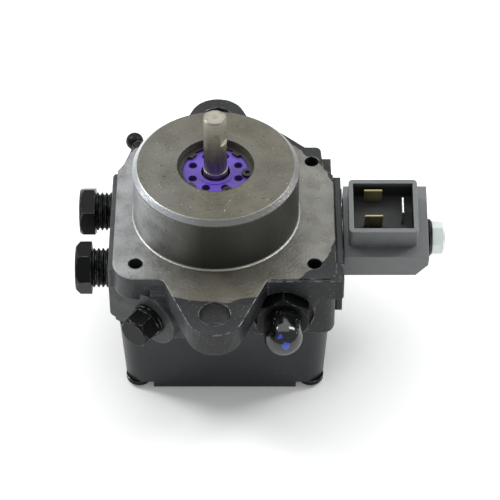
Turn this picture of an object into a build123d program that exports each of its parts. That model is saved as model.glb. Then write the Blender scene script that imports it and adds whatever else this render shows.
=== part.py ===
from build123d import *
from math import acos, asin, atan2, cos, hypot, pi, radians, sin, sqrt
import os

# Oil burner fuel pump with a solenoid shut-off valve. Millimetres.
# Origin: on the shaft axis, in the plane of the mounting face. +Z runs out along the shaft.
# +X points to the solenoid, -X to the inlet ports, -Y to the pressure regulator.

# Driving dimensions of the casting ---------------------------------------------------------------
HUB_RADIUS = 28.575
HUB_HEIGHT = 22.2
HUB_CHAMFER = 1.7
HUB_FILLET = 0.6
BODY_DEPTH = 27.0
FACE_LEFT = -35.0
FACE_RIGHT = 41.0
FACE_FRONT = -32.6
FACE_BACK = 32.8
CORNER_RADIUS = 8.0
FLANGE_CHAMFER = 2.0
LOWER_CORNER = 5.0
BACK_CORNER = 36.8
BACK_CORNER_FILLET = 2.0
NOTCH_Y = 18.2
NOTCH_SLOPE = 3.4
LEFT_BEND = 6.0
LEFT_BEND_IN = 2.2
LEFT_BACK_IN = 4.7
EAR_PITCH = 97.8
EAR_RADIUS = 9.9
EAR_THICKNESS = 10.0
EAR_HOLE_RADIUS = 5.2
EAR_ROOT = 17.8
EAR_ROOT_FILLET = 3.0
CAST_EDGE = 1.0
EAR_WEB_ROOT = 31.3
EAR_WEB_X = 23.4
EAR_WEB_RISE = 7.2
FACE_HOLE_X = 60.7
FACE_HOLE_Y = 50.8
FACE_HOLE_CENTRE = 3.25
FACE_HOLE_RADIUS = 2.5
FACE_HOLE_DEPTH = 9.0

# Recess of the hub, from its mouth down ----------------------------------------------------------
RECESS_RADIUS = 13.1
RECESS_FLOOR = 16.0
SEAL_RADIUS = 10.5
SEAL_FLOOR = 6.0
DIAPHRAGM_THICKNESS = 1.2
DIAPHRAGM_GAP = 1.23
SEAL_CASE_WALL = 1.0
SEAL_CASE_HEIGHT = 7.0
SEAL_CASE_GAP = 0.3
LIP_BEVEL = 0.8
LIP_BEVEL_HEIGHT = 2.2
LIP_WEB = 2.0
LIP_SHOULDER = 2.6
LIP_THICKNESS = 1.5
LIP_TOP = 5.4
GARTER_WIRE = 0.45
GARTER_OUT = 2.75
GARTER_HEIGHT = 5.6
RETAINER_THICKNESS = 1.6
RETAINER_GAP = 0.78
RETAINER_RIM_WIDTH = 1.45
RETAINER_RIM_HEIGHT = 0.25
NOTCH_OUT = 0.6
NOTCH_TURN = 4.0
VENT_RADIUS = 1.5
VENT_CIRCLE = 8.4
VENT_COUNT = 8
VENT_START = 23.0
RING_THICKNESS = 1.0
RING_INNER = 11.3
RING_GROOVE = 0.9
RING_GAP_START = 296.0
RING_GAP_END = 351.0
RING_LUG_RADIUS = 1.9
RING_LUG_HOLE = 0.8
RING_LUG_IN = 0.4
RING_LUG_TURN = 3.0
RING_TAB_TURNS = (50.0, 137.0, 224.0)
RING_TAB = (2.4, 3.0)
RING_TAB_CORNER = 0.5
RING_FREE = 0.1

# Shaft and pumping gears -------------------------------------------------------------------------
SHAFT_RADIUS = 3.97
SHAFT_TIP = 43.9
SHAFT_CHAMFER = 0.6
JOURNAL_STEP = 0.2
JOURNAL_TOP = 21.0
SHAFT_FLAT_DEPTH = 0.8
SHAFT_FLAT_LENGTH = 10.4
SHAFT_FLAT_ANGLE = -25.0
RUNNING_GAP = 0.03
HEX_CORNER_GAP = 0.1
HEX_FACE_IN = 0.3
GEAR_MODULE = 1.5
PINION_TEETH = 9
RING_TEETH = 13
PRESSURE_ANGLE = 30.0
GEAR_WIDTH = 7.0
GEAR_SIDE_GAP = 0.03
BACKLASH = 0.12
RING_WALL = 3.0
POCKET_GAP = 0.05
CRESCENT_GAP = 0.08
FLANK_STEPS = 8
PINION_ADDENDUM = 0.8
RING_ADDENDUM = 0.5
DEDENDUM = 0.95
BUSH_WALL = 2.0
KEY_RADIUS = 0.9
KEY_END = 1.0
PLATE_THICKNESS = 5.0
PLATE_BOSS_HEIGHT = 5.0
PLATE_MARGIN = 5.0
PLATE_BOSS_WALL = 2.5
SMALL_SCREW_RADIUS = 1.5
SMALL_SCREW_HEAD = 2.6
SMALL_SCREW_REACH = 6.0
PLATE_SCREW_HEAD_HEIGHT = 1.8
SHAFT_END_SINK = 1.0
SUCTION_RADIUS = 1.6
SUCTION_X = 1.35
SUCTION_INSET = 0.5
BUSH_TO_SEAL = 1.0

# Strainer cover ----------------------------------------------------------------------------------
GASKET_THICKNESS = 0.8
COVER_LEFT = -33.6
COVER_RIGHT = 39.2
COVER_FRONT = -32.0
COVER_BACK = 32.0
COVER_BOTTOM = -57.8
COVER_WALL = 3.0
COVER_DRAFT = 1.5
COVER_CORNER = 7.0
COVER_FLOOR_FILLET = 1.2
COVER_RELIEF = 3.4
COVER_RELIEF_REACH = 5.2
COVER_BOLT_RADIUS = 2.4
COVER_BOLT_HEAD = 4.6
COVER_BOLT_HEAD_HEIGHT = 2.6
COVER_BOLT_INSET = 6.0
COVER_BOLT_SOCKET = 4.0
COVER_BOLT_EDGE = 1.0
COVER_BOLT_REACH = 8.0
PILLAR_SHIFT = 4.0
SCREEN_GAP = 2.825
SCREEN_WALL = 0.8
SCREEN_WINDOWS = 18
SCREEN_ROWS = 2
SCREEN_WINDOW_WIDTH = 5.0
SCREEN_BAND = 3.0
SCREEN_FOOT = 1.0

# Ports on the left -------------------------------------------------------------------------------
PORT_FACE = -36.8
PORT_PAD_FRONT = -27.0
PORT_PAD_BACK = 20.6
PORT_PAD_TOP = -1.6
PORT_PAD_EDGE = 1.2
PORT_PITCH = 28.0
PORT_Z = -13.6
PORT_RADIUS = 6.85
PORT_DEPTH = 13.0
PORT_END_WALL = 1.0
PLUG_THREAD_OUT = 6.2
PLUG_PITCH = 1.41
PLUG_THREAD_DEPTH = 0.9
PLUG_INSIDE = 2.0
PLUG_HEAD_LENGTH = 5.5
PLUG_HEAD_FLATS = 15.9
PLUG_CROWN = 1.6
PLUG_TURN_FRONT = 40.0
PLUG_TURN_BACK = 10.0
PASSAGE_RADIUS = 3.0
DRILL_RADIUS = 1.2
BYPASS_RADIUS = 3.9
BYPASS_LENGTH = 6.4
BYPASS_SOCKET = 4.0

# Gauge plug and bleed valve ----------------------------------------------------------------------
GAUGE_FACE = (-22.7, -34.7, -17.5)
GAUGE_DIRECTION = (-0.58, -0.81, 0.0)
GAUGE_BOSS_RADIUS = 10.4
GAUGE_BOSS_LENGTH = 18.0
GAUGE_RIDGE_LEFT = -22.0
GAUGE_RIDGE_RIGHT = -9.5
GAUGE_RIDGE_FACE = -34.8
GAUGE_RIDGE_TOP = -4.5
GAUGE_RIDGE_ROUND = 2.0
GAUGE_THREAD = 4.8
GAUGE_DEPTH = 9.0
GAUGE_WASHER = 1.0
GAUGE_HEAD_FLATS = 10.5
GAUGE_HEAD_LENGTH = 6.6
GAUGE_COLLAR = 1.3
GAUGE_WASHER_PROUD = 0.9
GAUGE_COLLAR_PROUD = 0.6
GAUGE_CROWN = 1.4
BLEED_BALL = (-30.6, 52.0, -14.6)
BLEED_DIRECTION = (-0.4, 0.9, 0.0)
BLEED_BALL_RADIUS = 3.25
BLEED_BOSS_RADIUS = 6.0
BLEED_THREAD = 3.0
BLEED_REACH = 17.0
BLEED_BOSS_LENGTH = 14.0
BLEED_NECK = 4.0
BLEED_NECK_RADIUS = 2.1
BLEED_BORE = 0.9
BLEED_FLATS = 8.0
BLEED_HEX_LENGTH = 4.0
BLEED_HEX_GAP = 0.3
BLEED_STEM_END = 5.0
BLEED_HOLE_END = 7.0

# Nozzle port on the back right -------------------------------------------------------------------
NOZZLE_PAD_FACE = 40.6
NOZZLE_PAD_FRONT = 21.5
NOZZLE_PAD_BACK = 31.0
NOZZLE_PAD_TOP = -4.0
NOZZLE_Z = -13.5
NOZZLE_RADIUS = 3.5
NOZZLE_DEPTH = 9.0
NOZZLE_PAD_DROP = 8.0
NOZZLE_PAD_ROOT = 6.0
NOZZLE_PLUG_SINK = 0.6
NOZZLE_PLUG_SOCKET = 3.5

# Pressure regulator ------------------------------------------------------------------------------
REGULATOR_X = 23.0
REGULATOR_Z = -16.0
REGULATOR_FACE = -33.6
REGULATOR_BOSS = 11.0
REGULATOR_BOSS_LENGTH = 14.0
SHOULDER_DEPTH = 8.0
SHOULDER_TOP = -0.4
SHOULDER_BOTTOM = -9.5
SHOULDER_LEFT = 6.0
WEB_LEFT = 9.5
WEB_RIGHT = 12.2
WEB_FOOT = 6.3
WEB_TOP = -2.0
WEB_BEND = -10.3
WEB_LIFT = 0.6
WEB_DEPTH = 12.0
REGULATOR_RECESS = 10.4
REGULATOR_RECESS_DEPTH = 1.2
REGULATOR_THREAD = 7.2
REGULATOR_THREAD_DEPTH = 9.6
REGULATOR_HEX = 17.5
REGULATOR_HEX_LENGTH = 5.2
REGULATOR_HEX_CROWN = 1.2
REGULATOR_PLUG_STOP = 1.0
CYLINDER_RADIUS = 5.0
CYLINDER_END = 12.0
PISTON_LENGTH = 12.0
PISTON_GAP = 0.04
GROOVE_START = 5.0
GROOVE_END = 7.0
PISTON_NOSE = 1.8
PISTON_NOSE_RADIUS = 2.0
PISTON_GROOVE_DEPTH = 0.8
PISTON_REST = 2.0
SEAT_THICKNESS = 2.0
SPRING_LENGTH = 17.0
SPRING_WIRE = 0.5
SPRING_INSET = 1.3
SPRING_TURNS = 7
ADJUSTER_RADIUS = 2.9
ADJUSTER_GAP = 0.05
ADJUSTER_OUT = 41.2
ADJUSTER_SLOT = 0.9
ADJUSTER_SLOT_DEPTH = 1.2
CAP_RADIUS = 6.6
CAP_STRAIGHT = 6.5
CAP_THREAD = 5.2
CAP_THREAD_LENGTH = 4.4
CAP_BORE_GAP = 0.7
CAP_BORE_DEPTH = 7.6

# Solenoid valve ----------------------------------------------------------------------------------
VALVE_Z = -12.8
VALVE_TILT = 15.0
SIDE_GASKET = 0.5
SIDE_PLATE = 2.1
PANEL_GAP = 0.3
PANEL_TOP = -1.0
PANEL_BEND = -18.0
PANEL_CUT = 6.0
PANEL_BOTTOM = -24.0
SIDE_SCREW_LOW_Y = 11.0
SIDE_SCREW_LOW_Z = -20.0
SIDE_SCREW_HIGH_Y = 13.0
SIDE_SCREW_HIGH_Z = -5.0
SIDE_SCREW_HEAD_HEIGHT = 0.4
COIL_GAP = 0.6
COIL_LENGTH = 29.2
COIL_END_CHAMFER = 4.0
COIL_END_WALL = 2.0
COIL_HALF_WIDTH = 14.3
COIL_TOP = 11.1
COIL_SIDE_BOTTOM = -1.4
COIL_BOTTOM = -10.6
COIL_BOTTOM_HALF = 8.0
SOCKET_NEAR_GAP = 1.5
SOCKET_FAR_GAP = 4.0
SOCKET_FRONT = -10.1
SOCKET_BACK = 11.0
SOCKET_TOP = 20.9
SOCKET_FLOOR = 12.7
SOCKET_WALL = 1.55
SOCKET_CORNER = 1.5
BLADE_WIDTH = 6.3
BLADE_THICKNESS = 0.8
BLADE_TIP = 0.25
BLADE_LENGTH = 7.0
BLADE_ROOT = 2.5
LINE_BLADE_IN = 8.6
LINE_BLADE_PITCH = 10.2
LINE_BLADE_CENTRE = 2.4
EARTH_BLADE_IN = 5.1
EARTH_BLADE_CENTRE = 1.2
EARTH_BLADE_LENGTH = 7.6
STEM_RADIUS = 4.5
STEM_THREAD = 6.0
STEM_BOTTOM = 33.0
STEM_COLLAR = 8.6
STEM_BORE = 3.3
STEM_END_WALL = 7.4
STUD_RADIUS = 3.0
PLUNGER_GAP = 0.05
PLUNGER_START = 37.0
PLUNGER_END = 56.0
PLUNGER_GROOVES = 3
PLUNGER_GROOVE = 1.0
PLUNGER_SPRING_WIRE = 0.35
PLUNGER_SPRING_INSET = 0.9
PLUNGER_SPRING_TURNS = 6
SEAL_CLEARANCE = 0.05
SEAL_INSET = 0.6
SEAT_HOLE_END = 30.0
SEAT_NOZZLE = 1.6
SEAT_NOZZLE_HEIGHT = 1.5
SEAT_BORE = 0.6
BOBBIN_GAP = 0.1
BOBBIN_WALL = 1.0
BOBBIN_END_WALL = 1.4
WINDING_INSET = 0.6
BOBBIN_FLANGE = 9.4
COIL_WASHER_RADIUS = 6.6
COIL_WASHER = 2.0
COIL_NUT_FLATS = 10.0
COIL_NUT = 4.2
COIL_NUT_CROWN = 0.7
COIL_NUT_TURN = 10.0
COIL_WASHER_CHAMFER = 0.7
STUD_PROUD = 0.3

# Values worked out from the driving dimensions ---------------------------------------------------
EAR_Y = EAR_PITCH / 2
COVER_TOP = -BODY_DEPTH - GASKET_THICKNESS
COVER_MID_X = (COVER_LEFT + COVER_RIGHT) / 2
COVER_MID_Y = (COVER_FRONT + COVER_BACK) / 2
DIAPHRAGM_TOP = RECESS_FLOOR + DIAPHRAGM_THICKNESS
RETAINER_TOP = DIAPHRAGM_TOP + RETAINER_THICKNESS
GEAR_FLOOR = -BODY_DEPTH + GEAR_WIDTH
PITCH_PINION = GEAR_MODULE * PINION_TEETH / 2
PITCH_RING = GEAR_MODULE * RING_TEETH / 2
RING_OFFSET = PITCH_RING - PITCH_PINION
PINION_TIP = PITCH_PINION + PINION_ADDENDUM * GEAR_MODULE
PINION_ROOT = PITCH_PINION - DEDENDUM * GEAR_MODULE
RING_TIP = PITCH_RING - RING_ADDENDUM * GEAR_MODULE
RING_ROOT = PITCH_RING + DEDENDUM * GEAR_MODULE
RING_OUTER = RING_ROOT + RING_WALL
PLATE_BOTTOM = -BODY_DEPTH - PLATE_THICKNESS
SHAFT_BOTTOM = PLATE_BOTTOM - PLATE_BOSS_HEIGHT + SHAFT_END_SINK
JOURNAL_RADIUS = SHAFT_RADIUS + JOURNAL_STEP
BUSH_RADIUS = JOURNAL_RADIUS + BUSH_WALL
DIAPHRAGM_HOLE = JOURNAL_RADIUS + DIAPHRAGM_GAP
RETAINER_HOLE = JOURNAL_RADIUS + RETAINER_GAP
RETAINER_RIM = RETAINER_HOLE + RETAINER_RIM_WIDTH
SCREEN_RADIUS = RING_OFFSET + RING_OUTER + PLATE_MARGIN + SCREEN_GAP
REGULATOR_AXIS = (REGULATOR_X, REGULATOR_FACE, REGULATOR_Z)
HEX_FACE = REGULATOR_FACE + REGULATOR_RECESS_DEPTH - REGULATOR_HEX_LENGTH
PISTON_FRONT = CYLINDER_END - PISTON_REST - PISTON_LENGTH
SEAT_BACK = PISTON_FRONT - SPRING_LENGTH
SEAT_FRONT = SEAT_BACK - SEAT_THICKNESS
PLATE_OUT = FACE_RIGHT + SIDE_GASKET + SIDE_PLATE
COIL_START = PLATE_OUT + COIL_GAP
COIL_END = COIL_START + COIL_LENGTH
STEM_BORE_END = COIL_END - STEM_END_WALL
SOCKET_START = COIL_START + SOCKET_NEAR_GAP
SOCKET_END = COIL_END - SOCKET_FAR_GAP
LINE_BLADE_X = SOCKET_START + LINE_BLADE_IN
EARTH_BLADE_X = SOCKET_END - EARTH_BLADE_IN
COIL_CORE_START = COIL_START + COIL_END_WALL
COIL_CORE_END = COIL_END - COIL_END_WALL
SCREEN_BOTTOM = COVER_BOTTOM + COVER_WALL + COVER_RELIEF + SCREEN_FOOT
BYPASS_X = PORT_FACE + PORT_DEPTH - BYPASS_RADIUS - PORT_END_WALL
BOBBIN_BORE = STEM_RADIUS + BOBBIN_GAP
LIP_RADIUS = JOURNAL_RADIUS + RUNNING_GAP


def rod(start, toward, radius, length):
    """Round bar from a point, running the given length along a direction."""
    place = Plane(origin=start, z_dir=toward).location
    return place * Cylinder(radius, length, align=(Align.CENTER, Align.CENTER, Align.MIN))


def hexagon_bar(start, toward, flats, length, turn=0.0):
    """Hexagon bar of the given width across flats, from a point along a direction."""
    sketch = Rot(0, 0, turn) * RegularPolygon(flats / 2, 6, major_radius=False)
    return Plane(origin=start, z_dir=toward).location * extrude(sketch, length)


def slab(low, high):
    """Box between two opposite corners."""
    size = [b - a for a, b in zip(low, high)]
    return Pos(*low) * Box(*size, align=(Align.MIN, Align.MIN, Align.MIN))


def turned(points, start, toward):
    """Body of revolution from (radius, distance) points about an axis."""
    profile = Plane.XZ * make_face(Polyline(*points, close=True))
    return Plane(origin=start, z_dir=toward).location * revolve(profile, Axis.Z)


def along(start, toward, distance):
    """Point at a distance from a start along a direction."""
    return tuple(Vector(*start) + Vector(*toward).normalized() * distance)


def backward(direction):
    """The opposite of a direction."""
    return tuple(-c for c in direction)


def hex_head(start, toward, flats, length, crown, turn):
    """Hexagon head whose outer end is turned to a cone and a slightly domed face."""
    blank = hexagon_bar(start, toward, flats, length, turn)
    corner = flats / sqrt(3) + HEX_CORNER_GAP
    cone = [(0, 0), (corner, 0), (corner, length - crown), (flats / 2 - HEX_FACE_IN, length), (0, length)]
    return blank & turned(cone, start, toward)


def threaded_length(core, crest, pitch, start, count):
    """Profile points of a run of V threads, as (radius, distance), from start outwards."""
    points = []
    for turn in range(count):
        foot = start + turn * pitch
        points.append((core, foot + 0.1 * pitch))
        points.append((crest, foot + 0.45 * pitch))
        points.append((crest, foot + 0.6 * pitch))
        points.append((core, foot + 0.95 * pitch))
    return points


def coil_spring(start, toward, radius, wire, length, turns):
    """Compression spring between two planes, along a direction."""
    clear = wire * 1.1
    free = length - 2 * clear
    path = Helix(free / turns, free, radius)
    section = Plane(origin=path @ 0, z_dir=path % 0) * Circle(wire)
    spring = sweep(section, path=path, is_frenet=True)
    return Plane(origin=along(start, toward, clear), z_dir=toward).location * spring


def ear_outline(side, edge):
    """Ear that runs tangent from its two roots on an edge of the face round the ear's end."""
    centre = side * EAR_Y
    reach = hypot(EAR_ROOT, centre - edge)
    spread = asin(EAR_RADIUS / reach)
    run = sqrt(reach ** 2 - EAR_RADIUS ** 2)
    ends = []
    for root in (-EAR_ROOT, EAR_ROOT):
        bend = atan2(centre - edge, -root) + spread * (1 if root * side < 0 else -1)
        ends.append((root + run * cos(bend), edge + run * sin(bend)))
    inner = edge - side * CORNER_RADIUS
    outline = [(-EAR_ROOT, inner), (-EAR_ROOT, edge), ends[0], ends[1], (EAR_ROOT, edge), (EAR_ROOT, inner)]
    return make_face(Polyline(*outline, close=True)) + Pos(0, centre) * Circle(EAR_RADIUS)


def ear_web():
    """Web that fills the corner between the back ear and the right half of the face."""
    inner = FACE_BACK - CORNER_RADIUS
    outline = [
        (0, inner), (EAR_WEB_ROOT, inner), (EAR_WEB_ROOT, FACE_BACK), (EAR_WEB_X, FACE_BACK + EAR_WEB_RISE),
        (EAR_RADIUS, EAR_Y), (0, EAR_Y),
    ]
    return make_face(Polyline(*outline, close=True))


def face_outline():
    """Outline of the mounting face without its ears."""
    corners = [
        (FACE_LEFT, FACE_FRONT), (FACE_RIGHT - FLANGE_CHAMFER, FACE_FRONT),
        (FACE_RIGHT, FACE_FRONT + FLANGE_CHAMFER), (FACE_RIGHT, NOTCH_Y),
        (BACK_CORNER + 1.0, NOTCH_Y + NOTCH_SLOPE), (BACK_CORNER, FACE_BACK),
        (FACE_LEFT + LEFT_BACK_IN, FACE_BACK), (FACE_LEFT + LEFT_BEND_IN, NOTCH_Y + LEFT_BEND),
        (FACE_LEFT, NOTCH_Y + LEFT_BEND_IN),
    ]
    face = make_face(Polyline(*corners, close=True))
    rounded = [v for v in face.vertices() if v.X < FACE_LEFT + 0.1 and v.Y < 0]
    face = fillet(rounded, CORNER_RADIUS)
    softened = [v for v in face.vertices() if v.Y > FACE_BACK - 0.1]
    return fillet(softened, BACK_CORNER_FILLET)


def flange_outline():
    """Outline of the mounting face with both ears, filleted at the roots of the front ear."""
    flange = face_outline() + ear_outline(-1, FACE_FRONT) + ear_outline(1, FACE_BACK) + ear_web()
    roots = [v for v in flange.vertices() if abs(v.Y - FACE_FRONT) < 0.1 and abs(abs(v.X) - EAR_ROOT) < 0.1]
    return fillet(roots, EAR_ROOT_FILLET)


def front_block():
    """Casting round the regulator: a square shoulder over a boss that tapers down to the joint."""
    low_corner = (REGULATOR_X - SHOULDER_LEFT, REGULATOR_FACE, SHOULDER_BOTTOM)
    shoulder = slab(low_corner, (PLATE_OUT, FACE_FRONT + SHOULDER_DEPTH, SHOULDER_TOP))
    outer = [e for e in shoulder.edges() if e.center().Y < REGULATOR_FACE + 0.1 or e.center().X > PLATE_OUT - 0.1]
    shoulder = fillet([e for e in outer if e.center().Z < SHOULDER_TOP - 0.1], CAST_EDGE)
    low = -BODY_DEPTH + WEB_LIFT
    left = REGULATOR_X - WEB_LEFT
    right = REGULATOR_X + WEB_RIGHT
    web = [(left, WEB_TOP), (right, WEB_TOP), (right, WEB_BEND), (REGULATOR_X + WEB_FOOT, low), (left, low)]
    plane = Plane(origin=(0, REGULATOR_FACE, 0), x_dir=(1, 0, 0), z_dir=(0, -1, 0))
    boss = extrude(plane * make_face(Polyline(*web, close=True)), -WEB_DEPTH)
    front = [e for e in boss.edges() if e.center().Y < REGULATOR_FACE + 0.1]
    right = [e for e in front if e.center().X > REGULATOR_X + WEB_FOOT - 1]
    side = [e for e in right if e.center().Z < WEB_BEND + 0.1]
    return shoulder + fillet(side, CAST_EDGE)


def port_pad():
    """Low pad on the left side that both inlet ports open into, rounded along its outer edges."""
    low = (PORT_FACE, PORT_PAD_FRONT, -BODY_DEPTH + PORT_PAD_EDGE)
    pad = slab(low, (PORT_FACE + PORT_DEPTH, PORT_PAD_BACK, PORT_PAD_TOP))
    outer = [e for e in pad.edges() if abs(e.center().X - PORT_FACE) < 0.01]
    return fillet(outer, PORT_PAD_EDGE)


def lower_corner():
    """What the casting's front right corner loses below the shoulder, where it is rounded."""
    x = FACE_RIGHT - LOWER_CORNER
    y = FACE_FRONT + LOWER_CORNER
    block = slab((x, FACE_FRONT - 1, -BODY_DEPTH), (FACE_RIGHT + 1, y, SHOULDER_BOTTOM))
    return block - rod((x, y, -BODY_DEPTH), (0, 0, 1), LOWER_CORNER, BODY_DEPTH)


def gauge_ridge():
    """Rounded step of the casting between the front ear and the gauge port."""
    low = (GAUGE_RIDGE_LEFT, GAUGE_RIDGE_FACE, -BODY_DEPTH)
    ridge = slab(low, (GAUGE_RIDGE_RIGHT, FACE_FRONT + CORNER_RADIUS, GAUGE_RIDGE_TOP))
    front = [e for e in ridge.edges() if e.center().Y < GAUGE_RIDGE_FACE + 0.1]
    return fillet(max(front, key=lambda e: e.center().Z), GAUGE_RIDGE_ROUND)


def casting():
    """Outside of the body: hub, face slab with ears, port pad and bosses."""
    body = extrude(flange_outline(), -EAR_THICKNESS)
    body = fillet([e for e in body.edges() if e.center().Z < 0.1 - EAR_THICKNESS], CAST_EDGE)
    body += extrude(face_outline(), -BODY_DEPTH) - lower_corner()
    body += port_pad()
    body += front_block()
    body += rod(REGULATOR_AXIS, (0, 1, 0), REGULATOR_BOSS, REGULATOR_BOSS_LENGTH)
    body += gauge_ridge()
    body -= gauge_facet()
    body += rod(GAUGE_FACE, backward(GAUGE_DIRECTION), GAUGE_BOSS_RADIUS, GAUGE_BOSS_LENGTH)
    body += bleed_boss()
    body += nozzle_pad()
    hub = Cylinder(HUB_RADIUS, HUB_HEIGHT, align=(Align.CENTER, Align.CENTER, Align.MIN))
    hub = chamfer(hub.edges().sort_by(Axis.Z)[-1], HUB_CHAMFER)
    body += hub
    foot = [e for e in body.edges().filter_by(GeomType.CIRCLE) if abs(e.radius - HUB_RADIUS) < 1e-3]
    foot = [e for e in foot if abs(e.center().Z) < 1e-3]
    return fillet(foot, HUB_FILLET)


def gauge_facet():
    """Block that takes the body's front left corner back to the gauge port's face."""
    place = Plane(origin=GAUGE_FACE, z_dir=GAUGE_DIRECTION, x_dir=(0, 0, 1)).location
    low = -BODY_DEPTH - GAUGE_FACE[2] - 1
    high = -EAR_THICKNESS - GAUGE_FACE[2]
    reach = 2 * EAR_RADIUS
    block = Box(high - low, 3 * reach, reach, align=(Align.CENTER, Align.CENTER, Align.MIN))
    return place * Pos((low + high) / 2, 0, 0) * block


def bleed_boss():
    """Round boss that carries the bleed valve off the body's back left corner."""
    back = backward(BLEED_DIRECTION)
    root = along(BLEED_BALL, back, BLEED_REACH - BLEED_NECK)
    return rod(root, back, BLEED_BOSS_RADIUS, BLEED_BOSS_LENGTH)


def below_joint():
    """Everything below the cover joint, which the body must not reach."""
    depth = -COVER_BOTTOM
    return Pos(0, 0, -BODY_DEPTH - depth / 2) * Box(2 * EAR_PITCH, 2 * EAR_PITCH, depth)


def face_hole_places():
    """Centres of the four tapped holes in the mounting face."""
    half_x = FACE_HOLE_X / 2
    half_y = FACE_HOLE_Y / 2
    return [(FACE_HOLE_CENTRE + sx * half_x, sy * half_y, 0) for sx in (-1, 1) for sy in (-1, 1)]


def cover_bolt_places():
    """Centres of the four cover bolts in plan."""
    xs = (COVER_LEFT + COVER_BOLT_INSET, COVER_RIGHT - COVER_BOLT_INSET)
    ys = (COVER_FRONT + COVER_BOLT_INSET, COVER_BACK - COVER_BOLT_INSET)
    return [(x, y) for x in xs for y in ys]


def plate_screw_places():
    """Centres of the four gear plate screws in plan, round the ring gear's axis."""
    circle = RING_OUTER + PLATE_MARGIN / 2
    turns = [45 + 90 * k for k in range(4)]
    return [(-RING_OFFSET + circle * cos(radians(t)), circle * sin(radians(t))) for t in turns]


def port_axis(side):
    """Mouth centre of one inlet port; side is -1 for the front port and 1 for the back port."""
    return (PORT_FACE, side * PORT_PITCH / 2, PORT_Z)


def shaft_cavity():
    """Everything bored out round the shaft axis, from the hub's mouth to the gear pocket."""
    up = (0, 0, 1)
    cut = rod((0, 0, RECESS_FLOOR), up, RECESS_RADIUS, HUB_HEIGHT)
    cut += rod((0, 0, RETAINER_TOP), up, RECESS_RADIUS + RING_GROOVE, RING_THICKNESS)
    cut += rod((0, 0, SEAL_FLOOR), up, SEAL_RADIUS, HUB_HEIGHT)
    cut += rod((0, 0, -BODY_DEPTH), up, BUSH_RADIUS, HUB_HEIGHT + BODY_DEPTH)
    cut += rod((-RING_OFFSET, 0, -BODY_DEPTH), up, RING_OUTER + POCKET_GAP, GEAR_WIDTH)
    return cut


def regulator_cavity():
    """Threaded mouth, spot face and cylinder of the pressure regulator; the cutter also clips the ear."""
    back = (0, 1, 0)
    cut = rod(REGULATOR_AXIS, back, REGULATOR_RECESS, REGULATOR_RECESS_DEPTH)
    cut += rod(REGULATOR_AXIS, backward(back), REGULATOR_RECESS, 2 * REGULATOR_HEX_LENGTH)
    cut += rod(REGULATOR_AXIS, back, REGULATOR_THREAD, REGULATOR_THREAD_DEPTH)
    cut += rod(REGULATOR_AXIS, back, CYLINDER_RADIUS, CYLINDER_END - REGULATOR_FACE)
    return cut


def oil_passages():
    """Drillings: suction down to the strainer, pressure to the regulator, regulator to the valve."""
    down = (0, 0, -1)
    front_x = PORT_FACE + PORT_DEPTH - PASSAGE_RADIUS - PORT_END_WALL
    cut = rod((front_x, -PORT_PITCH / 2, PORT_Z), down, PASSAGE_RADIUS, BODY_DEPTH)
    cut += rod((BYPASS_X, PORT_PITCH / 2, PORT_Z), down, BYPASS_RADIUS, BODY_DEPTH)
    delivery = (REGULATOR_X, BUSH_RADIUS, GEAR_FLOOR + DRILL_RADIUS)
    cut += rod(delivery, (-1, 0, 0), DRILL_RADIUS, REGULATOR_X + RING_OFFSET - RING_OUTER + 2)
    cut += rod((REGULATOR_X, 0, VALVE_Z), (1, 0, 0), DRILL_RADIUS, SEAT_HOLE_END - REGULATOR_X)
    return cut


def pump_body():
    """Cast iron body with every bore, thread hole and passage."""
    body = casting() - below_joint() - shaft_cavity() - regulator_cavity() - oil_passages()
    up = (0, 0, 1)
    for side in (-1, 1):
        body -= Pos(0, side * EAR_Y, 0) * Cylinder(EAR_HOLE_RADIUS, 4 * EAR_THICKNESS)
        body -= rod(port_axis(side), (1, 0, 0), PORT_RADIUS, PORT_DEPTH)
    for place in face_hole_places():
        body -= rod(place, (0, 0, -1), FACE_HOLE_RADIUS, FACE_HOLE_DEPTH)
    for x, y in cover_bolt_places():
        body -= rod((x, y, -BODY_DEPTH), up, COVER_BOLT_RADIUS, COVER_BOLT_REACH)
    for x, y in plate_screw_places():
        body -= rod((x, y, -BODY_DEPTH), up, SMALL_SCREW_RADIUS, SMALL_SCREW_REACH + 1)
    body -= rod(GAUGE_FACE, backward(GAUGE_DIRECTION), GAUGE_THREAD, GAUGE_DEPTH)
    bleed_back = backward(BLEED_DIRECTION)
    body -= rod(BLEED_BALL, bleed_back, BLEED_THREAD + RUNNING_GAP, BLEED_REACH + BLEED_HOLE_END)
    body -= rod((SEAT_HOLE_END, 0, VALVE_Z), (1, 0, 0), STEM_THREAD, PLATE_OUT - SEAT_HOLE_END)
    for y, z in side_screw_places():
        body -= rod((FACE_RIGHT, y, z), (-1, 0, 0), SMALL_SCREW_RADIUS, SMALL_SCREW_REACH)
    body -= rod(nozzle_port(), (-1, 0, 0), NOZZLE_RADIUS, NOZZLE_DEPTH)
    return body


def nozzle_port():
    """Mouth centre of the plugged nozzle port on the back right."""
    return (NOZZLE_PAD_FACE, (NOZZLE_PAD_FRONT + NOZZLE_PAD_BACK) / 2, NOZZLE_Z)


def nozzle_pad():
    """Machined pad of the nozzle port, which stands out of the casting below the mounting face."""
    low = (BACK_CORNER - NOZZLE_PAD_ROOT, NOZZLE_PAD_FRONT, NOZZLE_Z - NOZZLE_PAD_DROP)
    return slab(low, (NOZZLE_PAD_FACE, NOZZLE_PAD_BACK, NOZZLE_PAD_TOP))


def nozzle_plug():
    """Socket plug in the unused nozzle port, a little below the pad's face."""
    inward = (-1, 0, 0)
    mouth = along(nozzle_port(), inward, NOZZLE_PLUG_SINK)
    plug = rod(mouth, inward, NOZZLE_RADIUS, NOZZLE_DEPTH - 2)
    return plug - hexagon_bar(mouth, inward, NOZZLE_PLUG_SOCKET, NOZZLE_PLUG_SOCKET)


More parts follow.
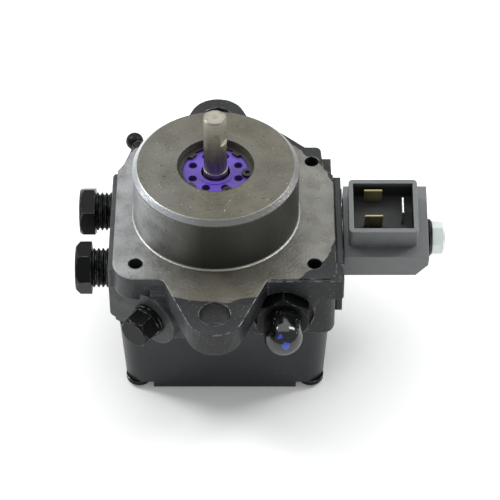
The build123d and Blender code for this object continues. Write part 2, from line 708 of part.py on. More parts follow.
def side_screw_places():
    """Centres, in Y and Z, of the screws that hold the side plate."""
    low = [(side * SIDE_SCREW_LOW_Y, SIDE_SCREW_LOW_Z) for side in (-1, 1)]
    high = [(side * SIDE_SCREW_HIGH_Y, SIDE_SCREW_HIGH_Z) for side in (-1, 1)]
    return low + high


def side_panel(start, thickness, thread_hole):
    """Plate on the right side of the body, notched at the back, with its stem and screw holes."""
    front = FACE_FRONT + SHOULDER_DEPTH + PANEL_GAP
    outline = [
        (front, PANEL_TOP), (NOTCH_Y, PANEL_TOP), (NOTCH_Y, PANEL_BEND), (NOTCH_Y - PANEL_CUT, PANEL_BOTTOM),
        (front, PANEL_BOTTOM),
    ]
    plane = Plane(origin=(start, 0, 0), x_dir=(0, 1, 0), z_dir=(1, 0, 0))
    panel = extrude(plane * make_face(Polyline(*outline, close=True)), thickness)
    panel -= rod((start, 0, VALVE_Z), (1, 0, 0), thread_hole, thickness)
    for y, z in side_screw_places():
        panel -= rod((start, y, z), (1, 0, 0), SMALL_SCREW_RADIUS, thickness)
    return panel


def side_gasket():
    return side_panel(FACE_RIGHT, SIDE_GASKET, STEM_THREAD)


def side_plate():
    return side_panel(FACE_RIGHT + SIDE_GASKET, SIDE_PLATE, STEM_THREAD)


def side_plate_screws():
    """Low headed screws of the side plate."""
    screws = []
    for y, z in side_screw_places():
        head = (PLATE_OUT, y, z)
        shank = rod(head, (-1, 0, 0), SMALL_SCREW_RADIUS, SIDE_PLATE + SIDE_GASKET + SMALL_SCREW_REACH - 1)
        screws.append(shank + rod(head, (1, 0, 0), SMALL_SCREW_HEAD, SIDE_SCREW_HEAD_HEIGHT))
    return group(screws)


def group(pieces):
    """One node that holds several separate solids."""
    return Compound(children=[piece.solid() for piece in pieces])


def cover_gasket():
    """Gasket between the body and the strainer cover, with its opening and bolt holes."""
    gasket = Pos(COVER_MID_X, COVER_MID_Y, COVER_TOP) * extrude(cover_plan(0), GASKET_THICKNESS)
    gasket -= Pos(COVER_MID_X, COVER_MID_Y, COVER_TOP) * extrude(cover_opening(), GASKET_THICKNESS)
    for x, y in cover_bolt_places():
        gasket -= rod((x, y, COVER_TOP), (0, 0, 1), COVER_BOLT_RADIUS, GASKET_THICKNESS)
    return gasket


def cover_plan(inset):
    """Rounded plan of the cover, drawn in by an inset."""
    width = COVER_RIGHT - COVER_LEFT - 2 * inset
    depth = COVER_BACK - COVER_FRONT - 2 * inset
    return RectangleRounded(width, depth, COVER_CORNER)


def cover_opening():
    """Plan of the strainer chamber: the cover less its wall and the four bolt pillars."""
    opening = cover_plan(COVER_WALL)
    for x, y in cover_bolt_places():
        pillar = Pos(x - COVER_MID_X, y - COVER_MID_Y) * Circle(COVER_BOLT_RADIUS + COVER_WALL)
        opening -= pillar
        side_x = 1 if x > COVER_MID_X else -1
        side_y = 1 if y > COVER_MID_Y else -1
        shift = Pos(x - COVER_MID_X + side_x * PILLAR_SHIFT, y - COVER_MID_Y + side_y * PILLAR_SHIFT)
        size = 2 * (COVER_BOLT_RADIUS + COVER_WALL)
        opening -= shift * Rectangle(size, size)
    return opening


def corner_relief(x, y):
    """Pocket under one corner of the cover, from inside its bolt out past the corner."""
    side_x = 1 if x > COVER_MID_X else -1
    side_y = 1 if y > COVER_MID_Y else -1
    xs = sorted((x - side_x * COVER_RELIEF_REACH, x + side_x * 2 * COVER_BOLT_INSET))
    ys = sorted((y - side_y * COVER_RELIEF_REACH, y + side_y * 2 * COVER_BOLT_INSET))
    return slab((xs[0], ys[0], COVER_BOTTOM - 1), (xs[1], ys[1], COVER_BOTTOM + COVER_RELIEF))


def rear_cover():
    """Cast and drafted strainer cover, relieved at its four corners for the bolt heads."""
    middle = Pos(COVER_MID_X, COVER_MID_Y, 0)
    height = COVER_TOP - COVER_BOTTOM
    upper = middle * Pos(0, 0, COVER_TOP) * cover_plan(0)
    lower = middle * Pos(0, 0, COVER_BOTTOM) * cover_plan(COVER_DRAFT)
    cover = loft([lower, upper])
    floor_edges = [e for e in cover.edges() if abs(e.center().Z - COVER_BOTTOM) < 0.01]
    cover = fillet(floor_edges, COVER_FLOOR_FILLET)
    cover -= middle * Pos(0, 0, COVER_BOTTOM + COVER_WALL + COVER_RELIEF) * extrude(cover_opening(), height)
    for x, y in cover_bolt_places():
        cover -= corner_relief(x, y)
        cover -= rod((x, y, COVER_BOTTOM), (0, 0, 1), COVER_BOLT_RADIUS, height)
    return cover


def cover_bolts():
    """Cap bolts that come up through the cover's corner pillars into the body."""
    bolts = []
    seat = COVER_BOTTOM + COVER_RELIEF
    for x, y in cover_bolt_places():
        shank = rod((x, y, seat), (0, 0, 1), COVER_BOLT_RADIUS, COVER_BOLT_REACH - 1 - seat - BODY_DEPTH)
        head = rod((x, y, seat), (0, 0, -1), COVER_BOLT_HEAD, COVER_BOLT_HEAD_HEIGHT)
        head = fillet(head.edges().sort_by(Axis.Z)[0], COVER_BOLT_EDGE)
        crown = (x, y, seat - COVER_BOLT_HEAD_HEIGHT)
        socket = hexagon_bar(crown, (0, 0, 1), COVER_BOLT_SOCKET, COVER_BOLT_SOCKET / 2)
        bolts.append(shank + head - socket)
    return group(bolts)


def drive_shaft():
    """Steel shaft: journal with a keyway, and a slightly thinner free end with a driving flat."""
    up = (0, 0, 1)
    journal = rod((0, 0, SHAFT_BOTTOM), up, JOURNAL_RADIUS, JOURNAL_TOP - SHAFT_BOTTOM)
    journal = chamfer(journal.edges().filter_by(GeomType.CIRCLE).sort_by(Axis.Z)[0], SHAFT_CHAMFER)
    free_end = rod((0, 0, JOURNAL_TOP), up, SHAFT_RADIUS, SHAFT_TIP - JOURNAL_TOP)
    free_end = chamfer(free_end.edges().filter_by(GeomType.CIRCLE).sort_by(Axis.Z)[-1], SHAFT_CHAMFER)
    flat_low = (SHAFT_RADIUS - SHAFT_FLAT_DEPTH, -2 * SHAFT_RADIUS, SHAFT_TIP - SHAFT_FLAT_LENGTH)
    flat = slab(flat_low, (2 * SHAFT_RADIUS, 2 * SHAFT_RADIUS, SHAFT_TIP + 1))
    return journal + free_end - Rot(0, 0, SHAFT_FLAT_ANGLE) * flat - key_bar()


def key_bar():
    """Round key that lies half in the shaft and half in the pinion, under one tooth."""
    start = (JOURNAL_RADIUS, 0, GEAR_FLOOR - GEAR_WIDTH + KEY_END)
    return rod(start, (0, 0, 1), KEY_RADIUS, GEAR_WIDTH - 2 * KEY_END)


def shaft_key():
    return key_bar()


def involute(base, radius):
    """Roll angle of an involute between its base circle and a radius, in radians."""
    if radius <= base:
        return 0.0
    return sqrt((radius / base) ** 2 - 1) - acos(base / radius)


def flank(teeth, from_radius, to_radius, thin):
    """Half-tooth points (radius, half angle) of an involute tooth, from one radius to another."""
    pitch = GEAR_MODULE * teeth / 2
    base = pitch * cos(radians(PRESSURE_ANGLE))
    half = pi / (2 * teeth) - thin / (2 * pitch)
    points = []
    for step in range(FLANK_STEPS + 1):
        radius = from_radius + (to_radius - from_radius) * step / FLANK_STEPS
        points.append((radius, half + involute(base, pitch) - involute(base, radius)))
    return points


def tooth_face(points, stretch):
    """Closed tooth shape round the X axis, run on inwards so that it joins or cuts cleanly."""
    side = [(points[0][0] - stretch, points[0][1])] + points
    right = [(r * cos(a), -r * sin(a)) for r, a in side]
    left = [(r * cos(a), r * sin(a)) for r, a in reversed(side)]
    return make_face(Polyline(*right, *left, close=True))


def pinion_gear():
    """Pinion on the shaft, with stubbed involute teeth."""
    tooth = tooth_face(flank(PINION_TEETH, PINION_ROOT, PINION_TIP, BACKLASH), 0.5)
    profile = Circle(PINION_ROOT)
    for number in range(PINION_TEETH):
        profile += Rot(0, 0, 360 * number / PINION_TEETH) * tooth
    profile -= Circle(JOURNAL_RADIUS)
    base = -BODY_DEPTH + GEAR_SIDE_GAP
    return Pos(0, 0, base) * extrude(profile, GEAR_WIDTH - 2 * GEAR_SIDE_GAP) - key_bar()


def ring_gear():
    """Internal gear that the pinion drives, on its own offset axis."""
    space = tooth_face(flank(RING_TEETH, RING_TIP, RING_ROOT, -BACKLASH), 1.0)
    profile = Circle(RING_OUTER) - Circle(RING_TIP)
    for number in range(RING_TEETH):
        profile -= Rot(0, 0, 360 * number / RING_TEETH) * space
    base = -BODY_DEPTH + GEAR_SIDE_GAP
    return Pos(-RING_OFFSET, 0, base) * extrude(profile, GEAR_WIDTH - 2 * GEAR_SIDE_GAP)


def crescent():
    """Filler between the two gears, on the side away from their mesh."""
    profile = Pos(-RING_OFFSET, 0) * Circle(RING_TIP - CRESCENT_GAP) - Circle(PINION_TIP + CRESCENT_GAP)
    profile -= Pos(RING_OUTER - RING_OFFSET, 0) * Rectangle(2 * RING_OUTER, 4 * RING_OUTER)
    return Pos(0, 0, -BODY_DEPTH) * extrude(profile, GEAR_WIDTH - GEAR_SIDE_GAP)


def gear_plate():
    """Plate that closes the gear pocket, carries the crescent and the rear bushing."""
    up = (0, 0, 1)
    boss_bottom = PLATE_BOTTOM - PLATE_BOSS_HEIGHT
    plate = rod((-RING_OFFSET, 0, PLATE_BOTTOM), up, RING_OUTER + PLATE_MARGIN, PLATE_THICKNESS)
    plate += rod((0, 0, boss_bottom), up, BUSH_RADIUS + PLATE_BOSS_WALL, PLATE_BOSS_HEIGHT)
    plate += crescent()
    plate -= rod((0, 0, boss_bottom), up, BUSH_RADIUS, PLATE_THICKNESS + PLATE_BOSS_HEIGHT)
    plate -= rod((SUCTION_X, SUCTION_INSET - PITCH_RING, PLATE_BOTTOM), up, SUCTION_RADIUS, PLATE_THICKNESS)
    for x, y in plate_screw_places():
        plate -= rod((x, y, PLATE_BOTTOM), up, SMALL_SCREW_RADIUS, PLATE_THICKNESS)
    return plate


def gear_plate_screws():
    """Pan head screws of the gear plate."""
    screws = []
    for x, y in plate_screw_places():
        shank = rod((x, y, PLATE_BOTTOM), (0, 0, 1), SMALL_SCREW_RADIUS, PLATE_THICKNESS + SMALL_SCREW_REACH)
        head = rod((x, y, PLATE_BOTTOM), (0, 0, -1), SMALL_SCREW_HEAD, PLATE_SCREW_HEAD_HEIGHT)
        screws.append(shank + head)
    return group(screws)


def bushing(low, high):
    """Plain bearing bush with a running clearance on the shaft."""
    outer = rod((0, 0, low), (0, 0, 1), BUSH_RADIUS, high - low)
    return outer - rod((0, 0, low), (0, 0, 1), LIP_RADIUS, high - low)


def front_bushing():
    return bushing(GEAR_FLOOR + GEAR_SIDE_GAP, SEAL_FLOOR - BUSH_TO_SEAL)


def rear_bushing():
    return bushing(PLATE_BOTTOM - PLATE_BOSS_HEIGHT, -BODY_DEPTH)


def seal_case():
    """Pressed steel cup of the shaft seal."""
    top = SEAL_FLOOR + SEAL_CASE_HEIGHT
    floor = SEAL_FLOOR + SEAL_CASE_WALL
    inner = BUSH_RADIUS + SEAL_CASE_GAP
    inside = SEAL_RADIUS - SEAL_CASE_WALL
    points = [
        (inner, SEAL_FLOOR), (SEAL_RADIUS, SEAL_FLOOR), (SEAL_RADIUS, top), (inside, top), (inside, floor),
        (inner, floor),
    ]
    return turned(points, (0, 0, 0), (0, 0, 1))


def seal_lip():
    """Rubber lip of the shaft seal, which runs on the shaft with a hair of clearance."""
    floor = SEAL_FLOOR + SEAL_CASE_WALL
    outer = SEAL_RADIUS - SEAL_CASE_WALL
    points = [
        (LIP_RADIUS, floor + LIP_BEVEL_HEIGHT), (LIP_RADIUS + LIP_BEVEL, floor), (outer, floor),
        (outer, floor + LIP_WEB), (LIP_RADIUS + LIP_SHOULDER, floor + LIP_WEB),
        (LIP_RADIUS + LIP_THICKNESS, floor + LIP_TOP), (LIP_RADIUS, floor + LIP_TOP),
    ]
    return turned(points, (0, 0, 0), (0, 0, 1))


def seal_spring():
    """Garter spring that lies in the shoulder of the seal lip."""
    return Pos(0, 0, SEAL_FLOOR + GARTER_HEIGHT) * Torus(LIP_RADIUS + GARTER_OUT, GARTER_WIRE)


def seal_diaphragm():
    """Rubber disc clamped under the retainer."""
    disc = rod((0, 0, RECESS_FLOOR), (0, 0, 1), RECESS_RADIUS, DIAPHRAGM_THICKNESS)
    return disc - rod((0, 0, RECESS_FLOOR), (0, 0, 1), DIAPHRAGM_HOLE, DIAPHRAGM_THICKNESS)


def seal_retainer():
    """Perforated retainer disc with a raised rim round its centre hole and one notch."""
    up = (0, 0, 1)
    disc = rod((0, 0, DIAPHRAGM_TOP), up, RECESS_RADIUS, RETAINER_THICKNESS)
    disc += rod((0, 0, RETAINER_TOP), up, RETAINER_RIM, RETAINER_RIM_HEIGHT)
    disc -= rod((0, 0, DIAPHRAGM_TOP), up, RETAINER_HOLE, RETAINER_THICKNESS + RETAINER_RIM_HEIGHT)
    for number in range(VENT_COUNT):
        turn = radians(VENT_START + 360 * number / VENT_COUNT)
        place = (VENT_CIRCLE * cos(turn), VENT_CIRCLE * sin(turn), DIAPHRAGM_TOP)
        disc -= rod(place, up, VENT_RADIUS, RETAINER_THICKNESS)
    notch = radians((RING_GAP_START + RING_GAP_END) / 2 - NOTCH_TURN)
    circle = RING_INNER + NOTCH_OUT
    place = (circle * cos(notch), circle * sin(notch), DIAPHRAGM_TOP)
    return disc - rod(place, up, VENT_RADIUS, RETAINER_THICKNESS)


def retaining_ring():
    """Spring steel ring in its groove, open between two drilled lugs, with three inward tabs."""
    outer = RECESS_RADIUS + RING_GROOVE - RING_FREE
    profile = Circle(outer) - Circle(RING_INNER)
    wedge = [(0, 0)]
    for turn in (RING_GAP_START, RING_GAP_END):
        wedge.append((2 * outer * cos(radians(turn)), 2 * outer * sin(radians(turn))))
    profile -= make_face(Polyline(*wedge, close=True))
    for turn in (RING_GAP_START - RING_LUG_TURN, RING_GAP_END + RING_LUG_TURN):
        lug = Rot(0, 0, turn) * Pos(RING_INNER - RING_LUG_IN, 0)
        profile += lug * Circle(RING_LUG_RADIUS)
        profile -= lug * Circle(RING_LUG_HOLE)
    for turn in RING_TAB_TURNS:
        profile += Rot(0, 0, turn) * Pos(RING_INNER, 0) * RectangleRounded(*RING_TAB, RING_TAB_CORNER)
    return Pos(0, 0, RETAINER_TOP) * extrude(profile, RING_THICKNESS)


def strainer_screen():
    """Pierced drum of the strainer, between the body and its cap."""
    up = (0, 0, 1)
    height = -BODY_DEPTH - SCREEN_BOTTOM
    drum = rod((0, 0, SCREEN_BOTTOM), up, SCREEN_RADIUS, height)
    drum -= rod((0, 0, SCREEN_BOTTOM), up, SCREEN_RADIUS - SCREEN_WALL, height)
    window = Box(6 * SCREEN_WALL, SCREEN_WINDOW_WIDTH, height / SCREEN_ROWS - SCREEN_BAND)
    for row in range(SCREEN_ROWS):
        level = SCREEN_BOTTOM + height * (row + 0.5) / SCREEN_ROWS
        for number in range(SCREEN_WINDOWS):
            turn = Rot(0, 0, 360 * number / SCREEN_WINDOWS)
            drum -= Pos(0, 0, level) * turn * Pos(SCREEN_RADIUS, 0, 0) * window
    return drum


def strainer_cap():
    """Cap that closes the lower end of the strainer."""
    return rod((0, 0, SCREEN_BOTTOM), (0, 0, -1), SCREEN_RADIUS, SCREEN_FOOT)


def inlet_plug(side, turn):
    """Hexagon pipe plug, part screwed in so that some threads show."""
    outward = (-1, 0, 0)
    inner = -PORT_DEPTH + PLUG_INSIDE
    core = PORT_RADIUS - PLUG_THREAD_DEPTH
    points = [(0, inner), (PORT_RADIUS, inner), (PORT_RADIUS, 0)]
    count = round(PLUG_THREAD_OUT / PLUG_PITCH)
    points += threaded_length(core, PORT_RADIUS, PLUG_THREAD_OUT / count, 0, count)
    points += [(core, PLUG_THREAD_OUT), (0, PLUG_THREAD_OUT)]
    shank = turned(points, port_axis(side), outward)
    foot = along(port_axis(side), outward, PLUG_THREAD_OUT)
    return shank + hex_head(foot, outward, PLUG_HEAD_FLATS, PLUG_HEAD_LENGTH, PLUG_CROWN, turn)


def inlet_plug_front():
    return inlet_plug(-1, PLUG_TURN_FRONT)


def inlet_plug_back():
    return inlet_plug(1, PLUG_TURN_BACK)


def bypass_plug():
    """Socket plug in the drilling between the return port and the strainer."""
    start = (BYPASS_X, PORT_PITCH / 2, -BODY_DEPTH)
    plug = rod(start, (0, 0, 1), BYPASS_RADIUS, BYPASS_LENGTH)
    top = along(start, (0, 0, 1), BYPASS_LENGTH)
    return plug - hexagon_bar(top, (0, 0, -1), BYPASS_SOCKET, BYPASS_SOCKET)


def gauge_plug_washer():
    """Sealing washer under the gauge plug."""
    washer = rod(GAUGE_FACE, GAUGE_DIRECTION, GAUGE_HEAD_FLATS / 2 + GAUGE_WASHER_PROUD, GAUGE_WASHER)
    return washer - rod(GAUGE_FACE, GAUGE_DIRECTION, GAUGE_THREAD, GAUGE_WASHER)


def gauge_plug():
    """Hexagon plug with a washer face in the gauge port."""
    inner = along(GAUGE_FACE, GAUGE_DIRECTION, 1 - GAUGE_DEPTH)
    seat = along(GAUGE_FACE, GAUGE_DIRECTION, GAUGE_WASHER)
    shank = rod(inner, GAUGE_DIRECTION, GAUGE_THREAD, GAUGE_DEPTH - 1 + GAUGE_WASHER)
    collar = rod(seat, GAUGE_DIRECTION, GAUGE_HEAD_FLATS / 2 + GAUGE_COLLAR_PROUD, GAUGE_COLLAR)
    foot = along(seat, GAUGE_DIRECTION, GAUGE_COLLAR)
    head = hex_head(foot, GAUGE_DIRECTION, GAUGE_HEAD_FLATS, GAUGE_HEAD_LENGTH, GAUGE_CROWN, 0)
    return shank + collar + head


def bleed_valve():
    """Bleed screw: threaded stem, hexagon and a ball end that a hose slips over."""
    back = backward(BLEED_DIRECTION)
    seat = along(BLEED_BALL, back, BLEED_REACH - BLEED_NECK)
    foot = along(seat, BLEED_DIRECTION, BLEED_HEX_GAP)
    valve = rod(seat, back, BLEED_THREAD, BLEED_NECK + BLEED_STEM_END)
    valve += rod(seat, BLEED_DIRECTION, BLEED_THREAD, BLEED_HEX_GAP)
    valve += hexagon_bar(foot, BLEED_DIRECTION, BLEED_FLATS, BLEED_HEX_LENGTH)
    valve += rod(BLEED_BALL, back, BLEED_NECK_RADIUS, BLEED_REACH - BLEED_NECK)
    valve += Pos(*BLEED_BALL) * Sphere(BLEED_BALL_RADIUS)
    mouth = along(BLEED_BALL, BLEED_DIRECTION, BLEED_NECK)
    return valve - rod(mouth, back, BLEED_BORE, BLEED_REACH + BLEED_NECK)


def regulator_plug():
    """Hexagon plug of the regulator: it holds the adjusting screw and the cap nut."""
    out = (0, -1, 0)
    seat = (REGULATOR_X, REGULATOR_FACE + REGULATOR_RECESS_DEPTH, REGULATOR_Z)
    run = REGULATOR_THREAD_DEPTH - REGULATOR_PLUG_STOP
    inner = (REGULATOR_X, REGULATOR_FACE + run, REGULATOR_Z)
    plug = rod(inner, out, REGULATOR_THREAD, run - REGULATOR_RECESS_DEPTH)
    plug += hex_head(seat, out, REGULATOR_HEX, REGULATOR_HEX_LENGTH, REGULATOR_HEX_CROWN, 0)
    plug += rod((REGULATOR_X, HEX_FACE, REGULATOR_Z), out, CAP_THREAD, CAP_THREAD_LENGTH)
    return plug - rod(inner, out, ADJUSTER_RADIUS + ADJUSTER_GAP, ADJUSTER_OUT)


def adjusting_screw():
    """Slotted screw that presses on the spring seat."""
    out = (0, -1, 0)
    screw = rod((REGULATOR_X, SEAT_FRONT, REGULATOR_Z), out, ADJUSTER_RADIUS, ADJUSTER_OUT + SEAT_FRONT)
    slot = Box(ADJUSTER_SLOT, 2 * ADJUSTER_SLOT_DEPTH, 4 * ADJUSTER_RADIUS)
    return screw - Pos(REGULATOR_X, -ADJUSTER_OUT, REGULATOR_Z) * slot


def spring_seat():
    """Round seat between the adjusting screw and the regulator spring."""
    start = (REGULATOR_X, SEAT_FRONT, REGULATOR_Z)
    return rod(start, (0, 1, 0), CYLINDER_RADIUS - PISTON_GAP, SEAT_THICKNESS)


def regulator_spring():
    """Spring between its seat and the regulating piston."""
    start = (REGULATOR_X, SEAT_BACK, REGULATOR_Z)
    radius = CYLINDER_RADIUS - SPRING_INSET
    return coil_spring(start, (0, 1, 0), radius, SPRING_WIRE, SPRING_LENGTH, SPRING_TURNS)


def regulator_piston():
    """Regulating piston with a sealing nose and an oil groove."""
    outer = CYLINDER_RADIUS - PISTON_GAP
    groove = CYLINDER_RADIUS - PISTON_GROOVE_DEPTH
    tip = PISTON_LENGTH + PISTON_NOSE
    points = [(0, 0), (outer, 0)]
    points += [(outer, GROOVE_START), (groove, GROOVE_START), (groove, GROOVE_END), (outer, GROOVE_END)]
    points += [(outer, PISTON_LENGTH), (PISTON_NOSE_RADIUS, PISTON_LENGTH)]
    points += [(PISTON_NOSE_RADIUS, tip), (0, tip)]
    return turned(points, (REGULATOR_X, PISTON_FRONT, REGULATOR_Z), (0, 1, 0))


def cap_nut():
    """Domed cap that covers the adjusting screw."""
    out = (0, -1, 0)
    seat = (REGULATOR_X, HEX_FACE, REGULATOR_Z)
    cap = rod(seat, out, CAP_RADIUS, CAP_STRAIGHT)
    cap += Pos(*along(seat, out, CAP_STRAIGHT)) * Sphere(CAP_RADIUS)
    cap = cap & rod(seat, out, 2 * CAP_RADIUS, CAP_STRAIGHT + 2 * CAP_RADIUS)
    cap -= rod(seat, out, CAP_THREAD, CAP_THREAD_LENGTH)
    return cap - rod(seat, out, ADJUSTER_RADIUS + CAP_BORE_GAP, CAP_BORE_DEPTH)


def coil_place():
    """Place of the coil's own frame: on the valve axis, turned about it."""
    return Pos(0, 0, VALVE_Z) * Rot(VALVE_TILT, 0, 0)


def coil_block():
    """Outside of the moulded coil without its connector."""
    outline = [
        (-COIL_HALF_WIDTH, COIL_TOP), (-COIL_HALF_WIDTH, COIL_SIDE_BOTTOM), (-COIL_BOTTOM_HALF, COIL_BOTTOM),
        (COIL_BOTTOM_HALF, COIL_BOTTOM), (COIL_HALF_WIDTH, COIL_SIDE_BOTTOM), (COIL_HALF_WIDTH, COIL_TOP),
    ]
    plane = Plane(origin=(COIL_START, 0, 0), x_dir=(0, 1, 0), z_dir=(1, 0, 0))
    block = extrude(plane * make_face(Polyline(*outline, close=True)), COIL_LENGTH)
    outer_end = [e for e in block.edges() if e.center().X > COIL_END - 0.1]
    lower = [e for e in outer_end if e.center().Z < COIL_SIDE_BOTTOM + 0.5]
    return chamfer(lower, COIL_END_CHAMFER)


def socket_walls():
    """Connector shroud on top of the coil, open at its outer end."""
    shroud = slab((SOCKET_START, SOCKET_FRONT, COIL_TOP - 1), (SOCKET_END, SOCKET_BACK, SOCKET_TOP))
    shroud = fillet(shroud.edges().filter_by(Axis.Z), SOCKET_CORNER)
    low = (SOCKET_START + SOCKET_WALL, SOCKET_FRONT + SOCKET_WALL, SOCKET_FLOOR)
    return shroud - slab(low, (SOCKET_END - SOCKET_WALL, SOCKET_BACK - SOCKET_WALL, SOCKET_TOP + 1))


def line_blade_places():
    """Centres of the two line blades in the coil's frame."""
    half = LINE_BLADE_PITCH / 2
    return [(LINE_BLADE_X, LINE_BLADE_CENTRE + side * half) for side in (-1, 1)]


def blade(x, y, size_x, size_y, length):
    """Flat terminal blade standing in the socket floor, with a bevelled tip."""
    top = SOCKET_FLOOR + length
    low = (x - size_x / 2, y - size_y / 2, SOCKET_FLOOR - BLADE_ROOT)
    bar = slab(low, (x + size_x / 2, y + size_y / 2, top))
    tip = [e for e in bar.edges() if abs(e.center().Z - top) < 0.01]
    return chamfer(tip, BLADE_TIP)


def line_blades_local():
    return [blade(x, y, BLADE_WIDTH, BLADE_THICKNESS, BLADE_LENGTH) for x, y in line_blade_places()]


def earth_blade_local():
    return blade(EARTH_BLADE_X, EARTH_BLADE_CENTRE, BLADE_THICKNESS, BLADE_WIDTH, EARTH_BLADE_LENGTH)


def coil_core_cavity():
    """Hollow of the moulding that holds the bobbin and its winding, and the bore for the stem."""
    hollow = rod((COIL_CORE_START, 0, 0), (1, 0, 0), BOBBIN_FLANGE, COIL_CORE_END - COIL_CORE_START)
    return hollow + rod((COIL_START, 0, 0), (1, 0, 0), BOBBIN_BORE, COIL_LENGTH)


def coil_housing():
    """Moulded coil body with its connector shroud."""
    body = coil_block() + socket_walls() - coil_core_cavity()
    for piece in line_blades_local() + [earth_blade_local()]:
        body -= piece
    return coil_place() * body


def line_terminals():
    return group([coil_place() * piece for piece in line_blades_local()])


def earth_terminal():
    return coil_place() * earth_blade_local()


def coil_bobbin():
    """Moulded reel that the wire is wound on."""
    tube = BOBBIN_BORE + BOBBIN_WALL
    length = COIL_CORE_END - COIL_CORE_START
    far_wall = length - BOBBIN_END_WALL
    points = [
        (BOBBIN_BORE, 0), (BOBBIN_FLANGE, 0), (BOBBIN_FLANGE, BOBBIN_END_WALL), (tube, BOBBIN_END_WALL),
        (tube, far_wall), (BOBBIN_FLANGE, far_wall), (BOBBIN_FLANGE, length), (BOBBIN_BORE, length),
    ]
    return turned(points, (COIL_CORE_START, 0, VALVE_Z), (1, 0, 0))


def coil_winding():
    """Copper winding between the reel's flanges."""
    length = COIL_CORE_END - COIL_CORE_START - 2 * BOBBIN_END_WALL
    start = (COIL_CORE_START + BOBBIN_END_WALL, 0, VALVE_Z)
    outer = rod(start, (1, 0, 0), BOBBIN_FLANGE - WINDING_INSET, length)
    return outer - rod(start, (1, 0, 0), BOBBIN_BORE + BOBBIN_WALL, length)


def stem_tube():
    """Armature tube: screwed into the body, carries the coil, ends in a stud for its nut."""
    right = (1, 0, 0)
    tube = rod((STEM_BOTTOM, 0, VALVE_Z), right, STEM_THREAD, PLATE_OUT - STEM_BOTTOM)
    tube += rod((PLATE_OUT, 0, VALVE_Z), right, STEM_COLLAR, COIL_START - PLATE_OUT)
    tube += rod((COIL_START, 0, VALVE_Z), right, STEM_RADIUS, COIL_LENGTH)
    tube += rod((COIL_END, 0, VALVE_Z), right, STUD_RADIUS, COIL_WASHER + COIL_NUT + STUD_PROUD)
    return tube - rod((STEM_BOTTOM, 0, VALVE_Z), right, STEM_BORE, STEM_BORE_END - STEM_BOTTOM)


def valve_seat():
    """Seat pressed into the bottom of the stem hole, with a raised nozzle."""
    right = (1, 0, 0)
    start = (SEAT_HOLE_END, 0, VALVE_Z)
    height = STEM_BOTTOM - SEAT_HOLE_END
    seat = rod(start, right, STEM_THREAD, height)
    seat += rod(start, right, SEAT_NOZZLE, height + SEAT_NOZZLE_HEIGHT)
    return seat - rod(start, right, SEAT_BORE, height + 2 * SEAT_NOZZLE_HEIGHT)


def plunger():
    """Magnetic plunger with oil grooves along its sides."""
    length = PLUNGER_END - PLUNGER_START
    body = rod((PLUNGER_START, 0, VALVE_Z), (1, 0, 0), STEM_BORE - PLUNGER_GAP, length)
    groove = Box(length, PLUNGER_GROOVE, PLUNGER_GROOVE, align=(Align.MIN, Align.CENTER, Align.CENTER))
    for number in range(PLUNGER_GROOVES):
        turn = Rot(360 * number / PLUNGER_GROOVES, 0, 0)
        body -= Pos(0, 0, VALVE_Z) * turn * Pos(PLUNGER_START, 0, STEM_BORE) * groove
    return body


def plunger_seal():
    """Rubber disc on the plunger's nose that shuts the nozzle."""
    start = (STEM_BOTTOM + SEAT_NOZZLE_HEIGHT + SEAL_CLEARANCE, 0, VALVE_Z)
    return rod(start, (1, 0, 0), STEM_BORE - SEAL_INSET, PLUNGER_START - start[0])


def plunger_spring():
    """Spring that closes the valve when the coil is off."""
    start = (PLUNGER_END, 0, VALVE_Z)
    length = STEM_BORE_END - PLUNGER_END
    radius = STEM_BORE - PLUNGER_SPRING_INSET
    return coil_spring(start, (1, 0, 0), radius, PLUNGER_SPRING_WIRE, length, PLUNGER_SPRING_TURNS)


def coil_washer():
    """Washer between the coil and its nut."""
    start = (COIL_END, 0, VALVE_Z)
    washer = rod(start, (1, 0, 0), COIL_WASHER_RADIUS, COIL_WASHER)
    washer = chamfer(washer.edges().filter_by(GeomType.CIRCLE).sort_by(Axis.X)[-1], COIL_WASHER_CHAMFER)
    return washer - rod(start, (1, 0, 0), STUD_RADIUS, COIL_WASHER)


def coil_nut():
    """Hexagon nut that holds the coil on its stem."""
    start = (COIL_END + COIL_WASHER, 0, VALVE_Z)
    nut = hex_head(start, (1, 0, 0), COIL_NUT_FLATS, COIL_NUT, COIL_NUT_CROWN, COIL_NUT_TURN)
    return nut - rod(start, (1, 0, 0), STUD_RADIUS, COIL_NUT)


NODES = [
    pump_body, side_gasket, side_plate, side_plate_screws, nozzle_plug, cover_gasket, rear_cover,
    cover_bolts, strainer_screen, strainer_cap, drive_shaft, shaft_key, pinion_gear, ring_gear,
    gear_plate, gear_plate_screws, front_bushing, rear_bushing, seal_case, seal_lip, seal_spring,
    seal_diaphragm, seal_retainer, retaining_ring, inlet_plug_front, inlet_plug_back, bypass_plug,
    gauge_plug_washer, gauge_plug, bleed_valve, regulator_plug, adjusting_screw, spring_seat,
    regulator_spring, regulator_piston, cap_nut, stem_tube, valve_seat, plunger, plunger_seal,
    plunger_spring, coil_bobbin, coil_winding, coil_housing, line_terminals, earth_terminal,
    coil_washer, coil_nut,
]

os.makedirs("parts", exist_ok=True)
for node in NODES:
    export_step(node(), f"parts/{node.__name__}.step")
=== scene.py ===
from math import cos, pi, radians, sin

